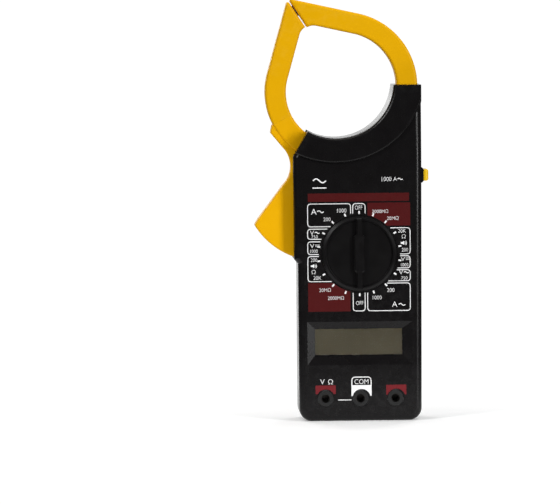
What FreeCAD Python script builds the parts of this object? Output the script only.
import FreeCAD, Part
import math
import os
import Sketcher

# A hand-held digital clamp meter, standing upright on its bottom end face.
# +X is to the right of somebody reading the display, +Y points out of the back, +Z runs up the
# meter to the tip of the jaws. The origin is the centre of the bottom end face, and y = 0 is both
# the parting plane of the housings and the middle of the jaws. Millimetres.

SIZES = {
    # housing
    "lower_half_width": 33.4,
    "upper_half_width": 34.4,
    "guard_left": 35.5,
    "guard_foot_z": 88.5,
    "guard_head_z": 144.6,
    "hood_top_z": 183.0,
    "hood_notch_x": 19.3,
    "hood_tip_x": 27.4,
    "hood_tip_z": 158.4,
    "hood_arc_radius": 31.2,
    "panel_front": 15.5,
    "hood_front": 17.7,
    "back_face": 18.5,
    "wall": 2.2,
    "bottom_corner_radius": 7.0,
    "front_edge_round": 3.4,
    "back_edge_round": 2.4,
    "jaw_slot_half": 8.3,
    # jaws
    "jaw_bar": 11.4,
    "jaw_half_depth": 7.5,
    "fixed_centre_x": -7.55,
    "fixed_centre_z": 182.3,
    "fixed_mid_radius": 34.75,
    "moving_centre_x": -11.1,
    "moving_centre_z": 179.2,
    "moving_mid_radius": 33.46,
    "split_x": -33.35,
    "split_z": 223.7,
    "channel_width": 7.6,
    "channel_half_depth": 5.4,
    "core_width": 4.6,
    "core_half_depth": 4.0,
    "fin_half_depth": 6.6,
    "trigger_radius": 41.3,
    # pivot
    "pivot_x": -21.3,
    "pivot_z": 128.3,
    "pivot_pin_radius": 2.0,
    "pivot_play": 0.05,
    # board
    "board_front": 10.2,
    "board_thick": 1.6,
    # selector
    "knob_z": 91.35,
    "knob_radius": 20.45,
    "knob_hole_radius": 20.75,
    "knob_top": 18.5,
    "flange_radius": 22.5,
    "boss_radius": 3.0,
    "grip_width": 3.2,
    "grip_centre_width": 6.0,
    # display
    "frame_half_width": 28.7,
    "frame_low_z": 30.6,
    "frame_high_z": 54.3,
    "lcd_left": -24.6,
    "lcd_right": 23.0,
    "lcd_low_z": 36.1,
    "lcd_high_z": 50.35,
    # input jacks
    "jack_pitch": 19.05,
    "jack_z": 12.5,
    "jack_hole_radius": 4.75,
    "socket_bore_radius": 2.0,
    "socket_outer_radius": 3.0,
    # hold button
    "button_z": 133.7,
    "button_height": 6.4,
    "button_tip_x": 38.2,
    "button_y": -8.0,
    "button_depth": 8.0,
    # battery
    "battery_width": 48.5,
    "battery_height": 26.5,
    "battery_depth": 17.0,
    "battery_low_z": 26.0,
    # screws
    "screw_radius": 1.35,
    "screw_head_radius": 2.6,
}

doc = FreeCAD.newDocument("clamp_meter")
sheet = doc.addObject("Spreadsheet::Sheet", "Dims")
for row, (alias, number) in enumerate(SIZES.items(), start=1):
    sheet.set(f"A{row}", alias.replace("_", " "))
    sheet.set(f"B{row}", str(number))
    sheet.setAlias(f"B{row}", alias)
doc.recompute()


COLLAR_RISE = 1.1


class Size:
    """A length that knows its number and the spreadsheet formula behind it."""

    def __init__(self, number, formula):
        self.number = number
        self.formula = formula

    def __add__(self, other):
        other = size(other)
        return Size(self.number + other.number, f"({self.formula} + {other.formula})")

    def __sub__(self, other):
        other = size(other)
        return Size(self.number - other.number, f"({self.formula} - {other.formula})")

    def __mul__(self, factor):
        return Size(self.number * factor, f"({self.formula} * {factor})")

    def __truediv__(self, factor):
        return Size(self.number / factor, f"({self.formula} / {factor})")

    def __neg__(self):
        return Size(-self.number, f"(0 - {self.formula})")

    def __radd__(self, other):
        return size(other) + self

    def __rsub__(self, other):
        return size(other) - self


def size(value):
    if isinstance(value, Size):
        return value
    return Size(float(value), f"({float(value):.6f})")


def dim(alias):
    return Size(SIZES[alias], f"Dims.{alias}")


def bind(item, prop, value):
    item.setExpression(prop, size(value).formula)


# ---------------------------------------------------------------- sketches


def arc_between(start, end, radius):
    """The minor arc from start to end: centre to the left of the way for a radius over 0."""
    chord = end.sub(start)
    middle = start.add(end).multiply(0.5)
    side = FreeCAD.Vector(-chord.y, chord.x, 0).normalize()
    reach = math.sqrt(max(radius * radius - chord.Length ** 2 / 4, 0.0))
    centre = middle.add(side.multiply(math.copysign(reach, radius)))
    first, last = (start, end) if radius > 0 else (end, start)
    begin = math.atan2(first.y - centre.y, first.x - centre.x)
    finish = math.atan2(last.y - centre.y, last.x - centre.x)
    if finish < begin:
        finish += 2 * math.pi
    circle = Part.Circle(centre, FreeCAD.Vector(0, 0, 1), abs(radius))
    return Part.ArcOfCircle(circle, begin, finish)


def name_and_bind(sketch, index, label, value):
    sketch.renameConstraint(index, label)
    bind(sketch, f"Constraints.{label}", value)


def pin_point(sketch, geometry, position, label, across, up):
    """Hold one sketch point at bound distances from the sketch origin."""
    for kind, tag, value in (("DistanceX", "x", across), ("DistanceY", "y", up)):
        rule = Sketcher.Constraint(kind, -1, 1, geometry, position, size(value).number)
        name_and_bind(sketch, sketch.addConstraint(rule), f"{label}{tag}", value)


def draw_outline(sketch, corners):
    """A closed outline. A corner is (across, up) or (across, up, radius of the arc to the next)."""
    points = [FreeCAD.Vector(size(c[0]).number, size(c[1]).number, 0) for c in corners]
    radii = [c[2] if len(c) > 2 else None for c in corners]
    edges = []
    for i, radius in enumerate(radii):
        start, end = points[i], points[(i + 1) % len(points)]
        if radius is None:
            edges.append((sketch.addGeometry(Part.LineSegment(start, end)), 1, 2))
            continue
        number = size(radius).number
        edge = sketch.addGeometry(arc_between(start, end, number))
        edges.append((edge, 1, 2) if number > 0 else (edge, 2, 1))
        rule = Sketcher.Constraint("Radius", edge, abs(number))
        absolute = radius if number > 0 else -size(radius)
        name_and_bind(sketch, sketch.addConstraint(rule), f"arc{i}", absolute)
    for i, (edge, start, end) in enumerate(edges):
        after, after_start, _ = edges[(i + 1) % len(edges)]
        sketch.addConstraint(Sketcher.Constraint("Coincident", edge, end, after, after_start))
        pin_point(sketch, edge, start, f"corner{i}", corners[i][0], corners[i][1])


def draw_circle(sketch, across, up, radius):
    count = sketch.GeometryCount
    centre = FreeCAD.Vector(size(across).number, size(up).number, 0)
    circle = Part.Circle(centre, FreeCAD.Vector(0, 0, 1), size(radius).number)
    edge = sketch.addGeometry(circle)
    rule = Sketcher.Constraint("Radius", edge, size(radius).number)
    name_and_bind(sketch, sketch.addConstraint(rule), f"round{count}", radius)
    pin_point(sketch, edge, 3, f"middle{count}", across, up)


def rectangle(left, right, low, high):
    return [(left, low), (right, low), (right, high), (left, high)]


class Moulding:
    """One PartDesign body, built from sketches on its own origin planes.

    plane "front" looks along +Y and measures its depth in y; "top" measures z; "side" measures x.
    """

    ROLES = {"front": "XZ_Plane", "top": "XY_Plane", "side": "YZ_Plane"}

    def __init__(self, name):
        self.body = doc.addObject("PartDesign::Body", name)
        self.body.Label = name

    def sketch(self, plane, offset):
        planes = [p for p in self.body.Origin.OriginFeatures if p.Role == self.ROLES[plane]]
        sketch = self.body.newObject("Sketcher::SketchObject", f"{self.body.Label}_sketch")
        sketch.AttachmentSupport = [(planes[0], "")]
        sketch.MapMode = "FlatFace"
        bind(sketch, "AttachmentOffset.Base.z", offset)
        return sketch

    def feature(self, kind, sketch, length):
        feature = self.body.newObject(f"PartDesign::{kind}", f"{self.body.Label}_{kind.lower()}")
        feature.Profile = sketch
        bind(feature, "Length", length)
        sketch.Visibility = False
        return feature

    def pad(self, plane, corners, low, high, holes=()):
        sketch = self.sketch(plane, -size(high) if plane == "front" else low)
        self.fill(sketch, corners, holes)
        self.feature("Pad", sketch, size(high) - size(low))
        return self

    def cut(self, plane, corners, low, high, holes=()):
        sketch = self.sketch(plane, -size(low) if plane == "front" else high)
        self.fill(sketch, corners, holes)
        self.feature("Pocket", sketch, size(high) - size(low))
        return self

    @staticmethod
    def fill(sketch, corners, holes):
        if corners:
            draw_outline(sketch, corners)
        for across, up, radius in holes:
            draw_circle(sketch, across, up, radius)

    def spin(self, plane, corners, axis):
        """Turn a half profile about a sketch axis, which is H_Axis or V_Axis."""
        sketch = self.sketch(plane, 0)
        draw_outline(sketch, corners)
        turn = self.body.newObject("PartDesign::Revolution", f"{self.body.Label}_turn")
        turn.Profile = sketch
        turn.ReferenceAxis = (sketch, [axis])
        turn.Angle = 360
        return self

    def dress(self, kind, prop, amount, chosen):
        """Fillet or chamfer every edge that the test picks."""
        doc.recompute()
        base = self.body.Tip
        picked = [f"Edge{i}" for i, edge in enumerate(base.Shape.Edges, start=1) if chosen(edge)]
        dressing = self.body.newObject(f"PartDesign::{kind}", f"{self.body.Label}_{kind.lower()}")
        dressing.Base = (base, picked)
        bind(dressing, prop, amount)
        return self

    def fillet(self, radius, chosen):
        return self.dress("Fillet", "Radius", radius, chosen)

    def chamfer(self, amount, chosen):
        return self.dress("Chamfer", "Size", amount, chosen)

    def place(self, across=0, depth=0, up=0, rotation=None):
        if rotation:
            self.body.Placement = FreeCAD.Placement(FreeCAD.Vector(), rotation)
        for letter, value in (("x", across), ("y", depth), ("z", up)):
            bind(self.body, f"Placement.Base.{letter}", value)
        return self


def in_plane(letter, value):
    """Edges that lie wholly in the plane where that coordinate has this value."""
    number = size(value).number

    def test(edge):
        box = edge.BoundBox
        low, high = {"x": (box.XMin, box.XMax), "y": (box.YMin, box.YMax),
                     "z": (box.ZMin, box.ZMax)}[letter]
        return abs(low - number) < 0.01 and abs(high - number) < 0.01

    return test


def along_depth_at(spots, reach=0.3):
    """Straight edges along y that stand at one of these (x, z) corners."""
    numbers = [(size(x).number, size(z).number) for x, z in spots]

    def test(edge):
        box = edge.BoundBox
        if box.XLength > 0.01 or box.ZLength > 0.01:
            return False
        return any(math.hypot(box.XMin - x, box.ZMin - z) < reach for x, z in numbers)

    return test


def longer_than(length, test):
    return lambda edge: edge.Length > length and test(edge)


def boolean(kind, name, base, tool):
    result = doc.addObject(f"Part::{kind}", name)
    result.Label = name
    result.Base = base
    result.Tool = tool
    return result


def join(name, items):
    result = doc.addObject("Part::MultiFuse", name)
    result.Label = name
    result.Shapes = items
    return result


def cylinder(name, axis, radius, low, high, across=0, up=0):
    """A rod along y, x or z, with its middle at the other two coordinates in x, y, z order."""
    rod = doc.addObject("Part::Cylinder", name)
    rod.Label = name
    bind(rod, "Radius", radius)
    bind(rod, "Height", size(high) - size(low))
    turns = {"y": (FreeCAD.Vector(1, 0, 0), -90), "x": (FreeCAD.Vector(0, 1, 0), 90),
             "z": (FreeCAD.Vector(0, 0, 1), 0)}
    rod.Placement = FreeCAD.Placement(FreeCAD.Vector(), FreeCAD.Rotation(*turns[axis]))
    first, second = {"y": ("x", "z"), "x": ("y", "z"), "z": ("x", "y")}[axis]
    bind(rod, f"Placement.Base.{axis}", low)
    bind(rod, f"Placement.Base.{first}", across)
    bind(rod, f"Placement.Base.{second}", up)
    return rod


def block(name, left, right, front, back, low, high):
    box = doc.addObject("Part::Box", name)
    box.Label = name
    for prop, value in (("Length", size(right) - size(left)), ("Width", size(back) - size(front)),
                        ("Height", size(high) - size(low)), ("Placement.Base.x", left),
                        ("Placement.Base.y", front), ("Placement.Base.z", low)):
        bind(box, prop, value)
    return box


# ---------------------------------------------------------------- housings

WALL = dim("wall")
PARTS = []


def part(item):
    PARTS.append(item.body if isinstance(item, Moulding) else item)
    return PARTS[-1]


def housing_outline(inset):
    """The front view of the housing, drawn in from its edge by a distance."""
    lower = dim("lower_half_width") - inset
    right = dim("upper_half_width") - inset
    guard = dim("guard_left") - inset
    arc = dim("hood_arc_radius") + inset
    top = dim("hood_top_z") - inset
    return [
        (-lower, inset),
        (lower, inset),
        (right, dim("guard_head_z")),
        (right, top),
        (dim("hood_notch_x") + size(inset) * 0.95, top, -arc),
        (-(dim("hood_tip_x") - size(inset) * 0.55), dim("hood_tip_z") - size(inset) * 1.6),
        (-guard, dim("guard_head_z") - size(inset) * 0.55),
        (-guard, dim("guard_foot_z") - inset * 0.4),
        (-lower, dim("guard_foot_z") - 2.5 - size(inset) * 0.4),
    ]


def hood_outline():
    """The raised band that follows the hood's concave rim, a hair inside the case's own edge."""
    inset = 0.06
    right = dim("upper_half_width") - inset
    top = dim("hood_top_z") - inset
    return [
        (right, 173.6),
        (right, top),
        (dim("hood_notch_x") + inset, top, -(dim("hood_arc_radius") + inset)),
        (-(dim("hood_tip_x") - inset * 0.5), dim("hood_tip_z") - inset * 1.6),
        (-34.5, 146.2, 49.6),
    ]


def corner_spots():
    lower = dim("lower_half_width")
    return [(-lower, 0), (lower, 0)]


def screw_spots():
    """Case screws: two beside the jacks, one below the trigger and one above the button."""
    return [(-27.6, 14.0), (27.6, 14.0), (-27.6, 77.5), (27.0, 150.0)]


def opening_for_jaws(name):
    """Ways out for the fixed jaw at the top right, and for the moving jaw and trigger at the left."""
    slot = dim("jaw_slot_half")
    tip = block(f"{name}_tip", -45, -24.6, -slot, slot, 140, 170)
    side = block(f"{name}_side", -45, -30, -slot, slot, 87, 165)
    socket_deep = dim("jaw_half_depth") + 0.3
    seat = Moulding(f"{name}_seat")
    seat.pad("front", ring_sector("fixed", dim("jaw_bar") + 0.6, -16, 8), -socket_deep, socket_deep)
    return [tip, side, seat.body]


def housing_half(name, face, front):
    """One half of the case: a rounded plate hollowed from the parting plane."""
    near, far = (-face, 0) if front else (0, face)
    inner_near, inner_far = (-(face - WALL), 0) if front else (0, face - WALL)
    outer_face = -face if front else face
    shell = Moulding(f"{name}_shell").pad("front", housing_outline(0.0), near, far)
    shell.fillet(dim("bottom_corner_radius"), along_depth_at(corner_spots()))
    shell.fillet(dim("front_edge_round" if front else "back_edge_round"), in_plane("y", outer_face))
    hollow = Moulding(f"{name}_hollow").pad("front", housing_outline(2.2), inner_near, inner_far)
    return shell, hollow


def front_housing():
    shell, hollow = housing_half("front_housing", dim("panel_front"), True)
    hood = Moulding("hood_band").pad("front", hood_outline(), -dim("hood_front"), -12)
    face = in_plane("y", -dim("hood_front"))
    hood.fillet(2.2, lambda edge: face(edge) and 45 < edge.Length < 70)
    hood.fillet(1.2, longer_than(70, face))
    inner = -(dim("panel_front") - WALL)
    posts = [cylinder(f"front_post_{i}", "y", 2.9, inner - 0.3, -0.1, x, z)
             for i, (x, z) in enumerate(screw_spots(), start=1)]
    pivot_post = cylinder("front_pivot_post", "y", 4.2, inner - 0.3, -8.6,
                          dim("pivot_x"), dim("pivot_z"))
    ring = detent_ring(inner - 0.3, -11.2)
    collar = Moulding("button_collar")
    half = dim("button_depth") / 2 + 1.5
    middle, centre_z = dim("button_y"), dim("button_z")
    tall = dim("button_height") / 2 + 1.0
    collar.pad("side", rectangle(middle - half, middle + half, centre_z - tall, centre_z + tall),
               32.6, dim("upper_half_width") + COLLAR_RISE)
    collar.chamfer(0.9, in_plane("x", dim("upper_half_width") + COLLAR_RISE))
    solid = join("front_housing_solid", [shell.body, hood.body])
    hollowed = boolean("Cut", "front_housing_hollowed", solid, hollow.body)
    filled = join("front_housing_filled", [hollowed, *posts, pivot_post, ring.body, collar.body])
    cutters = opening_for_jaws("front_opening")
    front = -dim("panel_front") - 1
    cutters.append(cylinder("knob_hole", "y", dim("knob_hole_radius"), front, inner + 0.01,
                            0, dim("knob_z")))
    cutters += [cylinder(f"jack_hole_{i}", "y", dim("jack_hole_radius"), front, inner + 0.01,
                         dim("jack_pitch") * i, dim("jack_z")) for i in (-1, 0, 1)]
    cutters += [cylinder(f"front_screw_hole_{i}", "y", dim("screw_radius") + 0.02, inner + 1.2, 1, x, z)
                for i, (x, z) in enumerate(screw_spots(), start=1)]
    cutters.append(cylinder("front_pin_hole", "y", dim("pivot_pin_radius"), inner, -8,
                            dim("pivot_x"), dim("pivot_z")))
    cutters.append(window_cutter().body)
    gap = 0.3
    half = dim("button_depth") / 2 + gap
    tall = dim("button_height") / 2 + gap
    cutters.append(block("button_hole", 30, 37, middle - half, middle + half,
                         centre_z - tall, centre_z + tall))
    result = boolean("Cut", "front_housing", filled, join("front_housing_cutters", cutters))
    part(result)


def detent_ring(near, far):
    """The ring that the selector's balls run in, with a notch for each of its 18 places."""
    ring = Moulding("detent_ring")
    ring.pad("front", None, near, far, [(0, 0, 25.2), (0, 0, 23.3)])
    ring.cut("front", None, near, far, [(0, 23.5, 0.9)])
    notch = ring.body.Tip
    notches = ring.body.newObject("PartDesign::PolarPattern", "detent_notches")
    notches.Originals = [notch]
    notches.Axis = (notch.Profile[0], ["N_Axis"])
    notches.Occurrences = 18
    notches.Angle = 360
    ring.body.Tip = notches
    return ring.place(0, 0, dim("knob_z"))


def window_cutter():
    """The display opening: four sloping sides down to the visible part of the display."""
    front = dim("panel_front")
    outer = rectangle(-dim("frame_half_width"), dim("frame_half_width"), dim("frame_low_z"),
                      dim("frame_high_z"))
    inner = rectangle(dim("lcd_left"), dim("lcd_right"), dim("lcd_low_z"), dim("lcd_high_z"))
    cutter = Moulding("window_cutter")
    mouth = cutter.sketch("front", front)
    draw_outline(mouth, outer)
    throat = cutter.sketch("front", front - 1.5)
    draw_outline(throat, inner)
    slope = cutter.body.newObject("PartDesign::AdditiveLoft", "window_slope")
    slope.Profile = mouth
    slope.Sections = [throat]
    slope.Ruled = True
    cutter.pad("front", outer, -front - 1.0, -front)
    cutter.pad("front", inner, -front + 1.4, -front + WALL + 0.3)
    return cutter


def rear_housing():
    shell, hollow = housing_half("rear_housing", dim("back_face"), False)
    inner = dim("back_face") - WALL
    posts = [cylinder(f"rear_post_{i}", "y", 3.6, 0.1, inner + 0.3, x, z)
             for i, (x, z) in enumerate(screw_spots(), start=1)]
    pivot_post = cylinder("rear_pivot_post", "y", 3.4, 13.2, inner + 0.3,
                          dim("pivot_x"), dim("pivot_z"))
    boss = cylinder("battery_cover_boss", "y", 3.0, 9.5, inner, 0, 61.5)
    ledge = block("battery_cover_ledge", -7.5, 7.5, inner - 1.6, inner + 0.15, 57.0, 68.5)
    hollowed = boolean("Cut", "rear_housing_hollowed", shell.body, hollow.body)
    filled = join("rear_housing_filled", [hollowed, *posts, pivot_post, boss, ledge])
    cutters = opening_for_jaws("rear_opening")
    back = dim("back_face") + 1
    for i, (x, z) in enumerate(screw_spots(), start=1):
        cutters.append(cylinder(f"rear_screw_hole_{i}", "y", dim("screw_radius") + 0.1, -1, back, x, z))
        cutters.append(cylinder(f"rear_screw_well_{i}", "y", dim("screw_head_radius") + 0.3,
                                dim("back_face") - 4.5, back, x, z))
    cutters.append(cylinder("rear_pin_hole", "y", dim("pivot_pin_radius"), 13, inner,
                            dim("pivot_x"), dim("pivot_z")))
    cutters.append(cylinder("boss_hole", "y", dim("screw_radius") + 0.02, 10.5, 17, 0, 61.5))
    opening = Moulding("battery_opening")
    opening.pad("front", cover_outline(0.25), inner - 0.01, back)
    opening.fillet(1.5, along_depth_at([(-25.75, 23.75), (25.75, 23.75)]))
    cutters.append(opening.body)
    part(boolean("Cut", "rear_housing", filled, join("rear_housing_cutters", cutters)))


def cover_outline(grow):
    """The battery cover with the tab that its screw goes through."""
    half, tab = 25.5 + grow, 5.0 + grow
    low, shoulder, top = 24.0 - grow, 57.0 + grow, 66.0 + grow
    return [(-half, low), (half, low), (half, shoulder), (tab, shoulder), (tab, top), (-tab, top),
            (-tab, shoulder), (-half, shoulder)]


def battery_cover():
    back, inner = dim("back_face"), dim("back_face") - WALL
    cover = Moulding("battery_cover").pad("front", cover_outline(0.0), inner, back)
    cover.fillet(1.3, along_depth_at([(-25.5, 24.0), (25.5, 24.0)]))
    cover.chamfer(0.4, in_plane("y", back))
    for i in range(6):
        low = 27.5 + 2.4 * i
        cover.cut("front", rectangle(-9, 9, low, low + 1.2), back - 0.6, back + 0.5)
    well, shank = dim("screw_head_radius") + 0.3, dim("screw_radius") + 0.1
    cover.cut("front", None, back - 1.6, back + 0.5, [(0, 61.5, well)])
    cover.cut("front", None, inner - 0.5, back, [(0, 61.5, shank)])
    part(cover)


def screw(name, across, up, head_y, length):
    """A pan-head screw along y with a cross recess, its head towards the back."""
    head, shank = dim("screw_head_radius"), dim("screw_radius")
    body = Moulding(name)
    top = length + 1.5
    body.spin("side", [(0, 0), (0, shank), (length, shank), (length, head), (top - 0.6, head),
                       (top, head * 0.6), (top, 0)], "H_Axis")
    half_slot, half_bar = 1.5, 0.35
    body.cut("front", rectangle(-half_slot, half_slot, -half_bar, half_bar), top - 0.8, top + 0.2)
    body.cut("front", rectangle(-half_bar, half_bar, -half_slot, half_slot), top - 0.8, top + 0.2)
    part(body.place(across, size(head_y) - length, up))


# ---------------------------------------------------------------- jaws

FIXED = (SIZES["fixed_centre_x"], SIZES["fixed_centre_z"], SIZES["fixed_mid_radius"])
MOVING = (SIZES["moving_centre_x"], SIZES["moving_centre_z"], SIZES["moving_mid_radius"])
ARM_NORMAL = {"fixed": 77.4, "moving": 164.3}
TURN = {"fixed": -1, "moving": 1}
FIXED_END = -109.0
FIXED_SHELL_END = -12.0
MOVING_END = 253.5
SHEATH_START = 206.6
TIP_ANGLE = 211.1
JAW_ROUND = 1.5
TRIGGER_SCREWS = [(-30.5, 138.0), (-42.0, 106.5)]
SPLIT_ANGLE = -57.0
SPLIT_GAP = 0.4
CORE_GAP = 0.1
BAND_END = 237.5
# the window's corner at the split: how far its round runs along the arm, and along the split
CORNER_RUN = 6.5
CORNER_DROP = 2.6


def polar(centre_x, centre_z, radius, angle):
    turn = math.radians(angle)
    return size(centre_x) + size(radius) * math.cos(turn), size(centre_z) + size(radius) * math.sin(turn)


def ring_point(jaw, offset, angle):
    """A point of a jaw's ring, at an offset outward from the middle of its bar."""
    return polar(dim(f"{jaw}_centre_x"), dim(f"{jaw}_centre_z"), dim(f"{jaw}_mid_radius") + offset, angle)


def arm_way(jaw):
    """The direction along a straight arm, away from the split."""
    normal = math.radians(ARM_NORMAL[jaw])
    side = 1.0 if jaw == "fixed" else -1.0
    return side * math.sin(normal), -side * math.cos(normal)


def meet_split(jaw, offset, gap):
    """Where the straight arm's edge, at an offset from its middle, reaches the split plane."""
    centre_x, centre_z, radius = FIXED if jaw == "fixed" else MOVING
    normal = math.radians(ARM_NORMAL[jaw])
    split = math.radians(SPLIT_ANGLE)
    start_x = centre_x + (radius + offset) * math.cos(normal)
    start_z = centre_z + (radius + offset) * math.sin(normal)
    way = arm_way(jaw)
    across = (math.sin(split), -math.cos(split))
    side = 1.0 if jaw == "fixed" else -1.0
    split_x = SIZES["split_x"] - side * gap * across[0]
    split_z = SIZES["split_z"] - side * gap * across[1]
    bottom = way[0] * across[0] + way[1] * across[1]
    run = ((split_x - start_x) * across[0] + (split_z - start_z) * across[1]) / bottom
    return (dim("split_x") + (start_x + run * way[0] - SIZES["split_x"]),
            dim("split_z") + (start_z + run * way[1] - SIZES["split_z"]))


def window_corner(jaw, half, gap):
    """The round in the jaw window's corner: where it leaves the arm, its radius, and its end."""
    corner_x, corner_z = meet_split(jaw, -half, gap)
    way = arm_way(jaw)
    split = math.radians(SPLIT_ANGLE)
    down = (math.cos(split), math.sin(split))
    chord = (CORNER_DROP * down[0] - CORNER_RUN * way[0], CORNER_DROP * down[1] - CORNER_RUN * way[1])
    off_arm = abs(chord[0] * way[1] - chord[1] * way[0])
    radius = (chord[0] ** 2 + chord[1] ** 2) / (2 * off_arm)
    leave = (corner_x + CORNER_RUN * way[0], corner_z + CORNER_RUN * way[1])
    return leave, radius, (corner_x + CORNER_DROP * down[0], corner_z + CORNER_DROP * down[1])


def bar_outline(jaw, width, gap, end_angle, rounded=False):
    """A jaw's bar of a given width: the straight arm from the split, then the ring."""
    half = size(width) / 2
    normal = ARM_NORMAL[jaw]
    radius = dim(f"{jaw}_mid_radius")
    sign = TURN[jaw]
    outer_start = ring_point(jaw, half, normal)
    outline = [meet_split(jaw, half.number, gap)]
    outline.append((*outer_start, (radius + half) * sign))
    for angle in middle_angles(normal, end_angle):
        outline.append((*ring_point(jaw, half, angle), (radius + half) * sign))
    outline.append(ring_point(jaw, half, end_angle))
    outline.append((*ring_point(jaw, -half, end_angle), (radius - half) * -sign))
    for angle in reversed(middle_angles(normal, end_angle)):
        outline.append((*ring_point(jaw, -half, angle), (radius - half) * -sign))
    outline.append(ring_point(jaw, -half, normal))
    if rounded:
        leave, round_radius, finish = window_corner(jaw, half.number, gap)
        outline += [(*leave, round_radius * -sign), finish]
    else:
        outline.append(meet_split(jaw, -half.number, gap))
    return outline


def middle_angles(start, end):
    """One stop half way round, when the ring turns through more than a third of a turn."""
    return [(start + end) / 2] if abs(end - start) > 120 else []


def jaw_half(name, jaw, end_angle, front):
    """Half of a jaw's plastic cover, with the channel for the core open at both ends."""
    deep, channel = dim("jaw_half_depth"), dim("channel_half_depth")
    skin = -deep if front else deep
    shell = Moulding(f"{name}_skin")
    shell.pad("front", bar_outline(jaw, dim("jaw_bar"), SPLIT_GAP, end_angle, rounded=True),
              -deep if front else 0, 0 if front else deep)
    half_bar = SIZES["jaw_bar"] / 2
    shell.fillet(0.9, along_depth_at([meet_split(jaw, half_bar, SPLIT_GAP)]))
    shell.fillet(JAW_ROUND, longer_than(18, in_plane("y", skin)))
    hollow = Moulding(f"{name}_channel")
    hollow.pad("front", bar_outline(jaw, dim("channel_width"), -1.0, end_angle + 3 * TURN[jaw]),
               -channel if front else -0.5, 0.5 if front else channel)
    part(boolean("Cut", name, shell.body, hollow.body))


def jaw_core(name, jaw, end_angle):
    """The laminated iron bar, which shows at the split when the jaws are open."""
    deep = dim("core_half_depth")
    part(Moulding(name).pad("front", bar_outline(jaw, dim("core_width"), CORE_GAP, end_angle), -deep, deep))


def fixed_jaw():
    jaw_half("fixed_jaw_front", "fixed", FIXED_SHELL_END, True)
    jaw_half("fixed_jaw_rear", "fixed", FIXED_SHELL_END, False)
    jaw_core("fixed_core", "fixed", FIXED_END)
    pickup_coil()


def pickup_coil():
    """A bobbin and its winding on the straight top arm of the fixed core."""
    along = FreeCAD.Rotation(FreeCAD.Vector(0, 1, 0), 90 - ARM_NORMAL["fixed"])
    spot = (dim("split_x") + 18.5, 0, dim("split_z") - 4.13, along)
    tube_y, tube_z = dim("core_half_depth") + 0.6, dim("core_width") / 2 + 0.5
    bobbin = Moulding("coil_bobbin")
    for low, high in ((-11, -10), (10, 11)):
        bobbin.pad("side", rectangle(-5.2, 5.2, -3.6, 3.6), low, high)
    bobbin.pad("side", rectangle(-tube_y, tube_y, -tube_z, tube_z), -10, 10)
    bobbin.cut("side", rectangle(-tube_y + 0.5, tube_y - 0.5, -tube_z + 0.4, tube_z - 0.4), -12, 12)
    part(bobbin.place(*spot))
    coil = Moulding("pickup_coil").pad("side", rectangle(-5.1, 5.1, -3.5, 3.5), -10, 10)
    coil.cut("side", rectangle(-tube_y, tube_y, -tube_z, tube_z), -11, 11)
    part(coil.place(*spot))


def trigger_outline():
    """The lever from the sheath round the jaw, down past the pivot, out to the finger tip."""
    ring = -(dim("moving_mid_radius") - dim("jaw_bar") / 2)
    swing = dim("trigger_radius")
    return [
        ring_point("moving", dim("jaw_bar") / 2 + 0.7, SHEATH_START),
        (-47.5, 157.2),
        (-40.7, 149.0, -14.35),
        (-40.9, 128.7),
        (-54.9, 110.1),
        (*polar(dim("pivot_x"), dim("pivot_z"), swing, TIP_ANGLE), swing),
        polar(dim("pivot_x"), dim("pivot_z"), swing, 262.0),
        (dim("pivot_x") + 3.5, dim("pivot_z") - 29),
        (dim("pivot_x") + 8.5, dim("pivot_z") - 4),
        (dim("pivot_x") + 8.5, dim("pivot_z") + 5),
        ring_point("moving", dim("jaw_bar") / 2, MOVING_END),
        polar(dim("pivot_x"), dim("pivot_z"), 23.8, 87.5),
        polar(dim("pivot_x"), dim("pivot_z"), 23.8, 97.0),
        (*ring_point("moving", -dim("jaw_bar") / 2, 238.0), ring),
        ring_point("moving", -dim("jaw_bar") / 2, SHEATH_START),
    ]


def ring_sector(jaw, width, start, end):
    half = size(width) / 2
    radius = dim(f"{jaw}_mid_radius")
    return [(*ring_point(jaw, half, start), radius + half), ring_point(jaw, half, end),
            (*ring_point(jaw, -half, end), -(radius - half)), ring_point(jaw, -half, start)]


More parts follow.
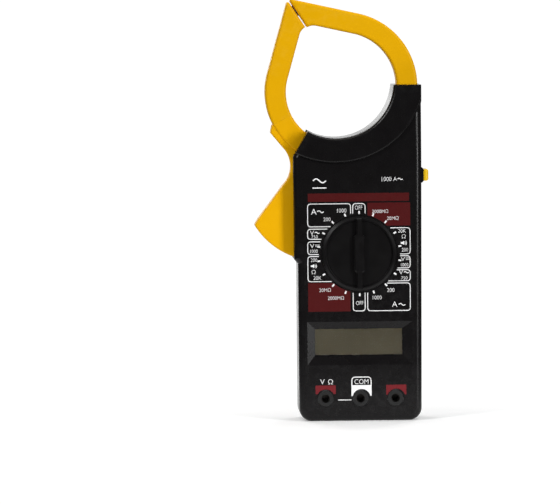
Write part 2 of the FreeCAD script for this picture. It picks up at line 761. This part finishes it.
def trigger_half(name, front):
    deep, channel = dim("fin_half_depth"), dim("core_half_depth") + 0.3
    skin = -deep if front else deep
    fin = Moulding(f"{name}_fin")
    fin.pad("front", trigger_outline(), -deep if front else 0, 0 if front else deep)
    tip = polar(dim("pivot_x"), dim("pivot_z"), dim("trigger_radius"), TIP_ANGLE)
    fin.fillet(1.2, along_depth_at([tip, (-54.9, 110.1), (-47.5, 157.2)]))
    fin.fillet(1.0, longer_than(3, in_plane("y", skin)))
    band_deep = dim("jaw_half_depth")
    band = Moulding(f"{name}_band")
    band.pad("front", ring_sector("moving", dim("jaw_bar") - 0.08, SHEATH_START + 0.05, BAND_END),
             -band_deep if front else 0.5, -0.5 if front else band_deep)
    band.fillet(JAW_ROUND, longer_than(13, in_plane("y", -band_deep if front else band_deep)))
    lever = join(f"{name}_lever", [fin.body, band.body])
    hollow = Moulding(f"{name}_channel")
    hollow.pad("front", ring_sector("moving", dim("core_width") + 0.6, SHEATH_START - 4, MOVING_END + 4),
               -channel if front else -0.5, 0.5 if front else channel)
    bore = cylinder(f"{name}_bore", "y", dim("pivot_pin_radius") + dim("pivot_play"), -10, 10,
                    dim("pivot_x"), dim("pivot_z"))
    cutters = [hollow.body, bore]
    if not front:
        cutters += [cylinder(f"{name}_well_{i}", "y", 2.5, deep - 2.0, deep + 1, x, z)
                    for i, (x, z) in enumerate(TRIGGER_SCREWS, start=1)]
        cutters += [cylinder(f"{name}_hole_{i}", "y", 1.05, -1, deep, x, z)
                    for i, (x, z) in enumerate(TRIGGER_SCREWS, start=1)]
    else:
        cutters += [cylinder(f"{name}_hole_{i}", "y", 1.05, -4.5, 1, x, z)
                    for i, (x, z) in enumerate(TRIGGER_SCREWS, start=1)]
    part(boolean("Cut", name, lever, join(f"{name}_cutters", cutters)))


def moving_jaw():
    jaw_half("moving_jaw_front", "moving", SHEATH_START, True)
    jaw_half("moving_jaw_rear", "moving", SHEATH_START, False)
    jaw_core("moving_core", "moving", MOVING_END)
    trigger_half("trigger_front", True)
    trigger_half("trigger_rear", False)
    for i, (x, z) in enumerate(TRIGGER_SCREWS, start=1):
        body = Moulding(f"trigger_screw_{i}")
        body.spin("side", [(0, 0), (0, 1.0), (10.2, 1.0), (10.2, 2.2), (11.6, 2.2), (11.6, 0)], "H_Axis")
        body.cut("front", rectangle(-1.4, 1.4, -0.3, 0.3), 10.9, 12)
        part(body.place(x, -4.2, z))


def wound(name, plane, radius, wire, pitch, length):
    """A helical spring along the plane's upright axis, starting at the origin."""
    spring = Moulding(name)
    section = spring.sketch(plane, 0)
    draw_circle(section, radius, 0, wire)
    coil = spring.body.newObject("PartDesign::AdditiveHelix", f"{name}_coil")
    coil.Profile = section
    coil.ReferenceAxis = (section, ["V_Axis"])
    coil.Mode = 0
    bind(coil, "Pitch", pitch)
    bind(coil, "Height", length)
    return spring


def pivot():
    x, z = dim("pivot_x"), dim("pivot_z")
    front = -(dim("panel_front") - WALL) + 0.05
    part(cylinder("pivot_pin", "y", dim("pivot_pin_radius"), front, dim("back_face") - WALL - 0.05, x, z))
    coil = wound("return_spring_coil", "front", 3.2, 0.4, 1.0, 3.2)
    coil.place(x, 9.0, z, FreeCAD.Rotation(FreeCAD.Vector(1, 0, 0), -90))
    long_leg = block("return_spring_leg", x - 3.6, x - 2.8, 8.6, 9.4, z - 15, z)
    short_leg = block("return_spring_stub", x + 2.8, x + 3.6, 11.8, 12.6, z, z + 9)
    part(join("return_spring", [coil.body, long_leg, short_leg]))


# ---------------------------------------------------------------- selector


def selector():
    """A bevelled disc with a grip bar; its flange runs behind the panel in a notched ring."""
    knob_z, radius, top = dim("knob_z"), dim("knob_radius"), dim("knob_top")
    flange, boss = dim("flange_radius"), dim("boss_radius")
    front, dish = dim("panel_front"), dim("panel_front") - 0.1
    disc = Moulding("selector_disc")
    disc.spin("side", [(-dish, 0), (-dish, radius - 2.6), (-front - 0.9, radius - 2.2),
                       (-front - 0.9, radius - 1.5), (-front + 0.1, radius), (-13.0, radius),
                       (-13.0, flange), (-10.9, flange), (-10.9, boss), (-9.0, boss), (-9.0, 0)], "H_Axis")
    bar = Moulding("selector_bar")
    half = dim("grip_width") / 2
    reach = radius - 1.0
    bar.pad("front", rectangle(-half, half, -reach, reach), -top, -dish + 0.2)
    bar.chamfer(0.6, in_plane("y", -top))
    grip = Moulding("selector_grip")
    half = dim("grip_centre_width") / 2
    grip.pad("front", [(-half, -9.3), (0, -11.7), (half, -9.3), (half, 9.3), (0, 11.7), (-half, 9.3)],
             -top, -dish + 0.2)
    grip.chamfer(0.7, in_plane("y", -top))
    pockets = [cylinder("ball_pocket_up", "z", 0.9, 13.5, 24, 0, -11.95),
               cylinder("ball_pocket_down", "z", 0.9, -24, -13.5, 0, -11.95)]
    solid = join("selector_solid", [disc.body, bar.body, grip.body])
    knob = boolean("Cut", "selector_knob", solid, join("selector_pockets", pockets))
    bind(knob, "Placement.Base.z", knob_z)
    part(knob)
    for i, side in ((1, 1), (2, -1)):
        ball = doc.addObject("Part::Sphere", f"detent_ball_{i}")
        ball.Label = f"detent_ball_{i}"
        bind(ball, "Radius", 0.8)
        bind(ball, "Placement.Base.y", -11.95)
        bind(ball, "Placement.Base.z", knob_z + 22.2 * side)
        part(ball)
        spring = wound(f"detent_spring_{i}", "front", 0.5, 0.14, 0.9, 6.6)
        part(spring.place(0, -11.95, knob_z + (14.2 if side > 0 else -20.8)))
        wiper = Moulding(f"wiper_{i}")
        wiper.pad("front", rectangle(11, 18, -1.2, 1.2), -10.9, -10.65)
        wiper.pad("front", rectangle(16.4, 17.6, -0.9, 0.9), -10.65, -10.5)
        part(wiper.place(0, 0, knob_z, FreeCAD.Rotation(FreeCAD.Vector(0, 1, 0), 0 if side > 0 else 180)))


# ---------------------------------------------------------------- display, board and controls


def display():
    low, high = dim("lcd_low_z"), dim("lcd_high_z")
    left, right = dim("lcd_left"), dim("lcd_right")
    inner = dim("panel_front") - WALL
    part(block("lcd_window", left + 0.1, right - 0.1, -inner - 0.65, -inner - 0.05, low + 0.1, high - 0.1))
    part(block("lcd_glass", left - 2.2, right + 2.2, -inner + 0.1, -inner + 1.9, low - 2.4, high + 2.4))
    for i, up in ((1, low - 2.0), (2, high + 0.4)):
        part(block(f"zebra_strip_{i}", left, right, -inner + 1.9, -dim("board_front"), up, up + 1.6))


def board():
    front, back = dim("board_front"), dim("board_front") - dim("board_thick")
    plate = Moulding("main_board")
    outline = [(-30, 24), (30, 24), (30, 118), (28.4, 118), (28.4, 140), (12, 140), (12, 118), (-30, 118),
               (-30, 82.5), (-23, 82.5), (-23, 72.5), (-30, 72.5)]
    plate.pad("front", outline, -front, -back, [(0, dim("knob_z"), dim("boss_radius") + 0.06)])
    part(plate)
    part(block("meter_chip", -7, 7, -back, -back + 2.0, 62, 76))
    part(block("driver_chip", 12, 20, -back, -back + 1.6, 64, 70))
    part(cylinder("buzzer", "y", 6.0, -back, -back + 4.2, -17, 68))
    part(cylinder("trim_pot", "y", 1.9, -back, -back + 1.8, 12, 78))
    part(block("fuse_link", 5, 11, -back, -back + 2.2, 28, 30.6))


def hold_button():
    """A side key that slides inward; its stem enters a tact switch on the board."""
    y, z = dim("button_y"), dim("button_z")
    half, tall = dim("button_depth") / 2, dim("button_height") / 2
    key = Moulding("hold_key").pad("side", rectangle(y - half, y + half, z - tall, z + tall),
                                   31.6, dim("button_tip_x"))
    key.fillet(1.3, in_plane("x", dim("button_tip_x")))
    flange = block("hold_flange", 30.7, 31.7, y - half - 0.8, y + half + 0.8, z - tall - 0.8, z + tall + 0.8)
    part(join("hold_button", [key.body, flange]))
    back = dim("board_front") - dim("board_thick")
    part(cylinder("hold_plunger", "x", 0.95, 26.0, 30.7, -back + 2.2, z))
    case = block("hold_switch_case", 21, 28.2, -back, -back + 4.4, z - 3, z + 3)
    well = cylinder("hold_switch_well", "x", 1.05, 24.0, 29, -back + 2.2, z)
    part(boolean("Cut", "hold_switch", case, well))


def jacks():
    """Three 4 mm sockets behind plastic rims: the bore is blind and opens to the front."""
    outer, bore, hole = dim("socket_outer_radius"), dim("socket_bore_radius"), dim("jack_hole_radius")
    front, inner = dim("panel_front"), dim("panel_front") - WALL
    for name, side in (("ext", -1), ("com", 0), ("v_ohm", 1)):
        rim = Moulding(f"rim_{name}")
        rim.spin("side", [(-front - 0.3, 2.4), (-front - 0.3, hole - 0.5), (-front + 0.1, hole - 0.1),
                          (-inner, hole - 0.1), (-inner, hole + 1.0), (-inner + 0.9, hole + 1.0),
                          (-inner + 0.9, 2.4)], "H_Axis")
        part(rim.place(dim("jack_pitch") * side, 0, dim("jack_z")))
        socket = Moulding(f"socket_{name}")
        socket.spin("side", [(-inner + 1.0, bore), (-inner + 1.0, outer + 0.8), (-inner + 1.8, outer + 0.8),
                             (-inner + 1.8, outer), (1.5, outer), (1.5, 0), (-0.5, 0), (-0.5, bore)],
                    "H_Axis")
        part(socket.place(dim("jack_pitch") * side, 0, dim("jack_z")))


def power():
    half, low = dim("battery_width") / 2, dim("battery_low_z")
    high = low + dim("battery_height")
    back = dim("back_face") - WALL - 0.3
    front = back - dim("battery_depth")
    cell = Moulding("battery").pad("front", rectangle(-half, half, low, high), front, back)
    cell.fillet(1.5, along_depth_at([(-half, low), (half, low), (half, high), (-half, high)]))
    part(cell)
    middle_y, middle_z = (front + back) / 2, (low + high) / 2
    snap = Moulding("battery_snap")
    snap.pad("side", rectangle(front + 2, back - 2, low + 2, high - 2), half + 1.6, half + 3.2)
    part(snap)
    for i, side in ((1, 1), (2, -1)):
        part(cylinder(f"battery_stud_{i}", "x", 2.6, half, half + 1.6, middle_y, middle_z + 6.4 * side))


def fasteners():
    for i, (x, z) in enumerate(screw_spots(), start=1):
        screw(f"case_screw_{i}", x, z, dim("back_face") - 4.5, 22.0)
    screw("cover_screw", 0, 61.5, dim("back_face") - 1.6, 6.2)


# ---------------------------------------------------------------- checking and writing


def check():
    doc.recompute()
    for item in doc.Objects:
        if "Invalid" in item.State or "Error" in item.State:
            raise RuntimeError(f"{item.Label} did not build: {item.State}")
    for item in PARTS:
        if item.Shape.isNull() or not item.Shape.isValid() or len(item.Shape.Solids) != 1:
            raise RuntimeError(f"{item.Label} is not one valid solid")
    labels = [item.Label for item in PARTS]
    if len(set(labels)) != len(labels):
        raise RuntimeError("two sub-parts share a name")


def write():
    os.makedirs("parts", exist_ok=True)
    for item in PARTS:
        item.Shape.exportStep(f"parts/{item.Label}.step")
    print(len(PARTS), "sub-parts written")


front_housing()
rear_housing()
battery_cover()
fixed_jaw()
moving_jaw()
pivot()
selector()
display()
board()
hold_button()
jacks()
power()
fasteners()
check()
write()
